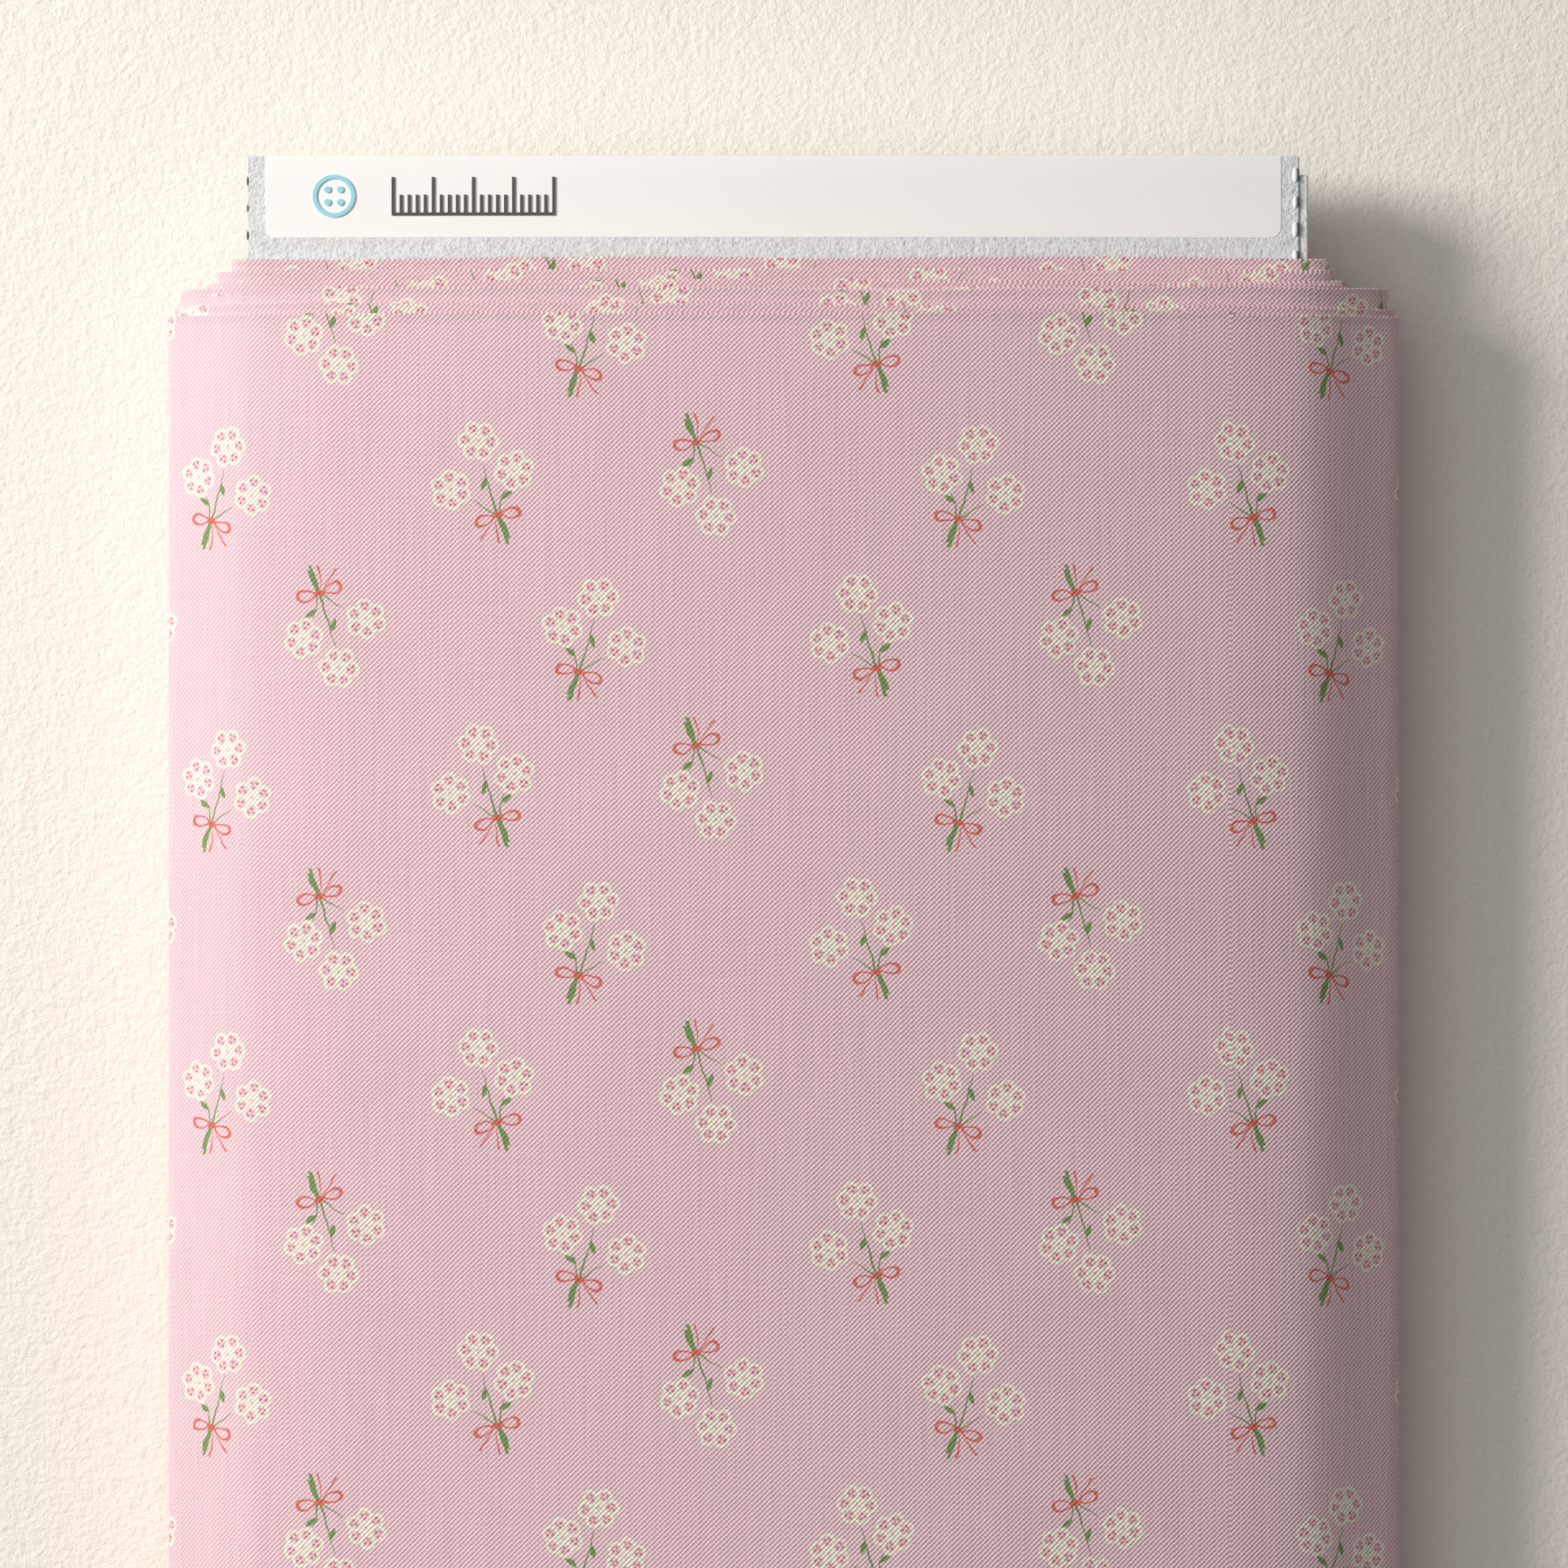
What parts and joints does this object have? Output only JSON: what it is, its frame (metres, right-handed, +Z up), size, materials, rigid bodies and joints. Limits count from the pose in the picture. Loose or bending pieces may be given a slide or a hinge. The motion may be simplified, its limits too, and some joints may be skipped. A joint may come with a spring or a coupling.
{
  "type": "fabric bolt",
  "caption": "Flat bolt of printed cotton, folded in half along its length and wound round a flat folded board, with a paper label over one end of the board.",
  "frame": {"origin": "on the surface the bolt lies on, under the middle of its length and width", "axes": "+X across the bolt to the side where the loose end hangs, +Y along the board to the label end, +Z up, out of the front face"},
  "size_m": [0.2226, 0.5976, 0.04],
  "materials": {
    "board": "rough white-grey recycled board",
    "label_paper": "smooth satin paper",
    "label_ink": "matt print on the label",
    "tape": "smooth paper tape",
    "cloth": "plain-woven cotton, printed with small posies"
  },
  "bodies": {
    "root": {"front_panel": "board", "back_panel": "board", "left_edge_panel": "board", "right_edge_panel": "board", "inner_front_panel": "board", "stiffener_channel": "board", "label_end_flap": "board", "label_end_tuck_tab": "board", "label_end_dust_flap_left": "board", "label_end_dust_flap_right": "board", "foot_end_dust_flap_left": "board", "foot_end_dust_flap_right": "board", "label": "label_paper", "start_tape": "tape", "cloth_turns_1": "cloth", "cloth_turns_2": "cloth", "cloth_turns_3": "cloth", "cloth_turns_4": "cloth", "cloth_turns_5": "cloth", "cloth_outer_turn": "cloth"},
    "foot_end_closure": {"foot_end_flap": "board", "foot_end_tuck_tab": "board"},
    "loose_end": {"cloth_tail": "cloth"}
  },
  "joints": [
    {"name": "loose_end_lift", "type": "hinge", "parent": "root", "child": "loose_end", "pos_m": [0.0803, 0, 0.0356], "axis": [0, -1, 0], "range_deg": [0, 120]},
    {"name": "foot_end_open", "type": "hinge", "parent": "root", "child": "foot_end_closure", "pos_m": [0, -0.2988, 0.0155], "axis": [1, 0, 0], "range_deg": [0, 100]}
  ]
}
